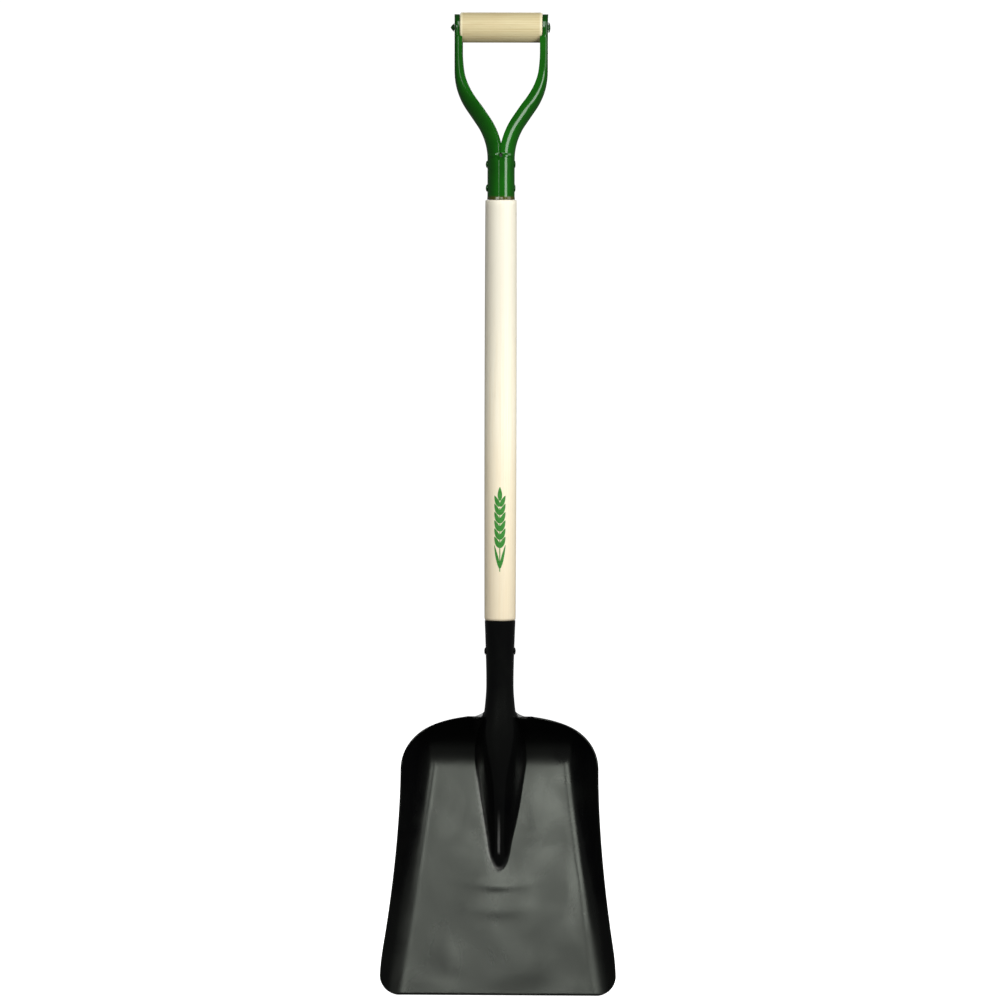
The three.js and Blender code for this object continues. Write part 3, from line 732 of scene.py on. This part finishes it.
def web_line(distance):
    """Outer line of the right channel's web, at a distance along it from the lower bend.

    Returns x, z, its lean, and the line's whole length.
    """
    lower_arc = LOWER_BEND_R * BEND
    upper_arc = UPPER_BEND_R * BEND
    side_step = (LOWER_BEND_R + UPPER_BEND_R) * (1 - math.cos(BEND))
    straight = (EAR_X - FERRULE_R - side_step) / math.sin(BEND)
    s1 = min(max(distance, 0), lower_arc)
    s2 = min(max(distance - lower_arc, 0), straight)
    s3 = min(max(distance - lower_arc - straight, 0), upper_arc)
    s4 = max(distance - lower_arc - straight - upper_arc, 0) + min(distance, 0)
    a1 = s1 / LOWER_BEND_R
    a3 = BEND - s3 / UPPER_BEND_R
    x = FERRULE_R + LOWER_BEND_R * (1 - math.cos(a1)) + s2 * math.sin(BEND)
    x += UPPER_BEND_R * (math.cos(a3) - math.cos(BEND))
    z = YOKE_BEND_Z + LOWER_BEND_R * math.sin(a1) + s2 * math.cos(BEND)
    z += UPPER_BEND_R * (math.sin(BEND) - math.sin(a3)) + s4
    return x, z, (a3 if s3 > 0 else a1), lower_arc + straight + upper_arc


def channel_row(x, z, lean, depth, half_y, squareness, columns):
    """One row of the right channel's section, open towards the middle of the shovel."""
    angle = np.linspace(-np.pi / 2, np.pi / 2, columns)
    cosine = np.where(np.abs(np.cos(angle)) < 1e-6, 0, np.abs(np.cos(angle)))
    inward = depth * (1 - cosine ** (2 / squareness))
    side = np.sign(angle) * np.abs(np.sin(angle)) ** (2 / squareness)
    return np.stack([x - inward * math.cos(lean), half_y * side, z + inward * math.sin(lean)], 1)


def half_gap(z):
    """Half the width of the slit between the two channels, with the round hole that ends it."""
    above = z - SLIT_Z
    if abs(above) < SLIT_HOLE_R:
        return max(math.sqrt(SLIT_HOLE_R**2 - above**2), HALF_SLIT if above > 0 else 0)
    return HALF_SLIT if above > 0 else 0.0


def make_yoke(material):
    columns = 61
    total = web_line(0)[3]
    to_ear = total + GRIP_Z - web_line(total)[1]
    slit = SLIT_Z - YOKE_BEND_Z
    hole = slit - SLIT_HOLE_R * np.cos(np.linspace(0, np.pi, 15))
    cradle = to_ear - (GRIP_Z - EAR_LIP_Z)
    low, lip_top = FERRULE_Z - YOKE_BEND_Z, FERRULE_Z + 8 - YOKE_BEND_Z
    ferrule = spaced((low, lip_top, 8), (lip_top, hole[0], 14))[:-1]
    closed = hole[-1] + 12
    arm = spaced(
        (hole[-1] + 0.3, closed, 24),
        (closed, cradle - 3, 78),
        (cradle - 3, cradle + 3, 16),
        (cradle + 3, to_ear, 6),
    )
    outside, inside, gaps = [], [], []
    for distance in (*ferrule, *hole, *arm):
        x, z, lean, _ = web_line(distance)
        flat = float(smoothstep(CHANNEL_BOTTOM_Z, CHANNEL_TOP_Z, z))
        lip = FERRULE_LIP * float(smoothstep(FERRULE_Z + 4, FERRULE_Z, z))
        gap = half_gap(z)
        channel = mix(CHANNEL_DEPTH, EAR_DEPTH, float(smoothstep(EAR_LIP_Z - 1.3, EAR_LIP_Z + 1.1, z)))
        depth = FERRULE_R - gap + lip
        if z > SLIT_Z:
            depth = min(mix(FERRULE_R + CHANNEL_FLARE, channel, flat), (x - gap) / math.cos(lean))
        half_y = mix(FERRULE_R, EAR_R, flat) + lip
        square = mix(TUBE_SQUARENESS, CHANNEL_SQUARENESS, flat)
        outside.append(channel_row(x + lip, z, lean, depth, half_y, square, columns))
        inner_x = x + lip - YOKE_WALL * math.cos(lean)
        inner_z = z + YOKE_WALL * math.sin(lean)
        inner = (depth - YOKE_WALL, half_y - YOKE_WALL, square, columns)
        inside.append(channel_row(inner_x, inner_z, lean, *inner))
        gaps.append(gap)
    inner = [size - YOKE_WALL for size in (EAR_X, EAR_R, EAR_DEPTH)]
    ear_faces = ((outside, EAR_X, EAR_R, EAR_DEPTH), (inside, *inner))
    for turn in np.linspace(0, np.pi / 2, 25)[1:]:
        cosine = max(math.cos(turn), 0) if turn < 1.57 else 0.0
        for rows, x, radius, depth in ear_faces:
            z = GRIP_Z + radius * math.sin(turn)
            rows.append(channel_row(x, z, 0, depth, radius * cosine, CHANNEL_SQUARENESS, columns))
        gaps.append(1.0)
    outside, inside = np.array(outside), np.array(inside)
    open_rows = np.array(gaps) > 0
    first = int(np.argmax(open_rows)) - 1
    body = Body()
    for side in (1, -1):
        mirror = np.array([side, 1, 1])
        out, inn = outside * mirror, inside * mirror
        flip = side < 0
        body.quads(body.add(out), flip)
        body.quads(body.add(inn), not flip)
        down = np.tile((0.0, 0.0, -1.0), (columns, 1))
        add_rounded_edge(body, out[0], inn[0], down, flip, bulge=0)
        for column, turned_over in ((0, not flip), (-1, flip)):
            edge_out, edge_in = out[first:, column], inn[first:, column]
            inward = np.tile((-1.0 * side, 0.0, 0.0), (len(edge_out), 1))
            add_rounded_edge(body, edge_out, edge_in, inward, turned_over, bulge=0.1)
    return body.object("yoke_shell", material, weld=0.01, sharp=50)


def make_grip(material):
    end, rim, bore = GRIP_HALF, GRIP_R - 1.3, GRIP_BORE_R
    left = [(-end, bore), (-end, rim), (-end + 1.3, GRIP_R)]
    right = [(end - 1.3, GRIP_R), (end, rim), (end, bore)]
    outer = rounded_profile([*left, (0, GRIP_R), *right], 1.2)
    body = turned([*outer, (-end, bore)], "x", 128, GRIP_Z)
    return body.object("grip_wood_roll", material, weld=0.004)


def make_rivet(name, material, left, right, shank, z):
    """A through rivet. left and right are (face x, head height, head radius, point), the last of
    them from 0, a dome, to 1, a cone.
    """

    def head(face, height, radius, point):
        turns = np.linspace(0, np.pi / 2, 14)
        dome = [(face + height * math.sin(t), radius * math.cos(t)) for t in turns]
        cone = [(face + height * t, radius * (1 - t) ** 0.85) for t in np.linspace(0, 1, 14)]
        return [tuple(mix(np.array(d), np.array(c), point)) for d, c in zip(dome, cone)]

    left_head = [(-x, r) for x, r in head(*left)][::-1]
    profile = [*left_head, (-left[0], shank), (right[0], shank), *head(*right)]
    return turned(profile, "x", 48, z).object(name, material, weld=0.004)


def grain_outline(length, width, points=28):
    """A kernel's outline: pointed above, rounded below."""
    t = np.linspace(0, 2 * np.pi, points, endpoint=False)
    v = np.cos(t) * length / 2
    u = np.sin(t) * width / 2 * (1 - 0.35 * np.cos(t)) * (1 - 0.25 * np.cos(t) ** 2)
    return np.stack([u, v], 1)


def add_decal(body, outline, u, v, tilt):
    """Lays a flat closed outline on the shaft's front, wrapped round it."""
    c, s = math.cos(tilt), math.sin(tilt)
    across, up = outline[:, 0], outline[:, 1]
    turned_outline = np.stack([across * c + up * s, up * c - across * s], 1)
    rings = []
    for share in np.linspace(0.02, 1, 7):
        flat = turned_outline * share + (u, v)
        radius = shaft_radius(flat[:, 1])
        around = flat[:, 0] / radius
        rings.append((flat[:, 1], radius, around))
    for lift, flip in ((MARK_LIFT, False), (-MARK_LIFT, True)):
        grid = [np.stack([(r + lift) * np.sin(a), -(r + lift) * np.cos(a), z], 1) for z, r, a in rings]
        grid = np.array([np.vstack([row, row[:1]]) for row in grid])
        body.quads(body.add(grid), flip)
        centre = grid[0, :-1].mean(0)
        body.quads(body.add(np.array([np.tile(centre, (grid.shape[1], 1)), grid[0]])), flip)
    z, r, a = (np.append(k, k[0]) for k in rings[-1])
    lifted = (r + MARK_LIFT, r - MARK_LIFT)
    body.quads(body.add([np.stack([rad * np.sin(a), -rad * np.cos(a), z], 1) for rad in lifted]))


def make_mark(material):
    """A plain ear of grain, printed on the front of the shaft."""
    body = Body()
    height = MARK_HIGH_Z - MARK_LOW_Z
    pairs = 6
    kernel = grain_outline(15, 5.2)
    for i in range(pairs):
        z = MARK_LOW_Z + height * 0.36 + i * height * 0.095
        for side in (-1, 1):
            add_decal(body, kernel, side * 3.7, z, side * math.radians(24))
    add_decal(body, grain_outline(17, 5.4), 0, MARK_HIGH_Z - 8.5, 0)
    stem = np.array([(-0.55, -1), (0.55, -1), (0.55, 1), (-0.55, 1)])
    stem = np.concatenate([np.linspace(a, b, 8, endpoint=False) for a, b in zip(stem, np.roll(stem, -1, 0))])
    stem[:, 1] *= height * 0.37
    add_decal(body, stem, 0, MARK_LOW_Z + height * 0.39, 0)
    leaf = grain_outline(30, 3.4)
    for side in (-1, 1):
        add_decal(body, leaf, side * 3.6, MARK_LOW_Z + height * 0.19, side * math.radians(13))
    return body.object("grain_mark", material, weld=0.004)


def place(piece, body, slot, *nodes):
    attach(piece, body)
    if nodes:
        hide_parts(*nodes)


def make_pieces():
    black, green = black_paint(), green_paint()
    place(make_scoop(black), "shovel", "scoop_paint", "scoop")
    place(make_shaft(shaft_wood()), "shovel", "shaft_wood", "shaft")
    place(make_yoke(green), "shovel", "yoke_paint", "yoke")
    place(make_grip(grip_wood()), "grip_roll", "grip_wood", "grip")
    face = EAR_X + GAP
    pin = make_rivet("grip_pin", green, (face, 4.4, 5.4, 0.8), (face, 2.4, 6.7, 0.1), GRIP_RIVET_R, GRIP_Z)
    place(pin, "shovel", "yoke_paint", "grip_rivet")
    face = FERRULE_R + 0.1
    for which, z in zip(("upper", "lower"), YOKE_RIVET_Z):
        left, right = (face, 2.0, RIVET_HEAD_R, 0), (face, 1.0, RIVET_HEAD_R, 0)
        pin = make_rivet(f"{which}_pin", green, left, right, RIVET_R, z)
        place(pin, "shovel", "yoke_paint", f"yoke_rivet_{which}")
    face = socket_radius(SOCKET_RIVET_Z) + 0.1
    head = (face, 1.7, RIVET_HEAD_R, 0)
    pin = make_rivet("socket_pin", black, head, head, RIVET_R, SOCKET_RIVET_Z)
    place(pin, "shovel", "scoop_paint", "socket_rivet")
    place(make_mark(mark_ink()), "shovel", "yoke_paint")


# ---------------------------------------------------------------- studio


def make_floor():
    """A plain pale floor that stays even and bright under the shovel."""
    body = Body()
    size = 30000
    x, y = np.meshgrid(np.linspace(-size, size, 9), np.linspace(-size, size, 9))
    body.quads(body.add(np.stack([x, y, np.full_like(x, -1.0)], 2)))
    n = Nodes("floor_white")
    n.set(Roughness=0.9)
    n.shader.inputs["Base Color"].default_value = (0.9, 0.9, 0.9, 1)
    n.shader.inputs["Emission Color"].default_value = (1, 1, 1, 1)
    n.shader.inputs["Emission Strength"].default_value = 0.95
    floor = body.object("floor", n.material)
    floor.visible_glossy = False
    floor.visible_diffuse = False
    floor.visible_shadow = False


def make_world():
    world = bpy.data.worlds.new("studio")
    world.use_nodes = True
    tree = world.node_tree
    background = tree.nodes["Background"]
    path = tree.nodes.new("ShaderNodeLightPath")
    seen = tree.nodes.new("ShaderNodeMapRange")
    tree.links.new(path.outputs["Is Camera Ray"], seen.inputs["Value"])
    seen.inputs["To Min"].default_value = AMBIENT
    seen.inputs["To Max"].default_value = BACKDROP
    tree.links.new(seen.outputs["Result"], background.inputs["Strength"])
    background.inputs["Color"].default_value = (1, 1, 1, 1)
    bpy.context.scene.world = world


def soft_box(name, place_at, aim, width, height, radiance):
    """A rectangular light facing a point; radiance is how bright its face is."""
    data = bpy.data.lights.new(name, "AREA")
    data.shape = "RECTANGLE"
    data.size, data.size_y = width, height
    data.energy = radiance * width * height * math.pi
    light = bpy.data.objects.new(name, data)
    light.location = place_at
    light.rotation_euler = (Vector(place_at) - Vector(aim)).to_track_quat("Z", "Y").to_euler()
    light.visible_camera = False
    bpy.context.scene.collection.objects.link(light)


def around(azimuth, distance, height):
    """A point at a distance from the shovel. azimuth is to the camera's right of straight ahead."""
    a = math.radians(azimuth)
    return (math.sin(a) * distance, -math.cos(a) * distance, height)


def make_lights():
    soft_box("floor_light", around(6, 2.4, 1.78), (0, 0, 0.1), 0.8, 0.6, 8.0)
    soft_box("left_front", around(-29, 2.4, 1.6), (0, 0, 0.2), 1.3, 0.55, 8.0)
    soft_box("key_right", around(44, 0.75, 0.87), (0, 0, 0.9), 0.27, 0.44, 8.2)
    soft_box("side_right", around(75, 1.3, 1.45), (0, 0, 1.0), 0.8, 0.8, 3.1)
    soft_box("overhead", (0.35, -1.6, 2.4), (0, 0, 0.5), 1.3, 1.2, 5.5)
    soft_box("strip_left", around(-17, 1.8, 1.12), (0, 0, 1.1), 0.1, 0.36, 6.0)
    soft_box("back_fill", around(184, 3.0, 1.9), (0, 0, 0.6), 2.0, 1.8, 2.2)


def make_camera():
    target = Vector((-0.0004, AXIS_Y * MM, AIM_HEIGHT))
    across = math.sin(CAMERA_AZIMUTH) * CAMERA_DISTANCE
    back = math.cos(CAMERA_AZIMUTH) * CAMERA_DISTANCE
    place_at = Vector((across, AXIS_Y * MM - back, CAMERA_HEIGHT))
    data = bpy.data.cameras.new("camera")
    data.sensor_width = SENSOR_WIDTH
    data.lens = SENSOR_WIDTH / PICTURE_WIDTH * (place_at - target).length
    data.clip_end = 100
    camera = bpy.data.objects.new("camera", data)
    camera.location = place_at
    roll = Matrix.Rotation(CAMERA_ROLL, 3, "Z")
    turn = (target - place_at).to_track_quat("-Z", "Y").to_matrix() @ roll
    camera.rotation_euler = turn.to_euler()
    bpy.context.scene.collection.objects.link(camera)
    bpy.context.scene.camera = camera


make_camera()
make_world()
make_floor()
make_lights()
make_pieces()
bpy.context.scene.view_settings.view_transform = "Standard"
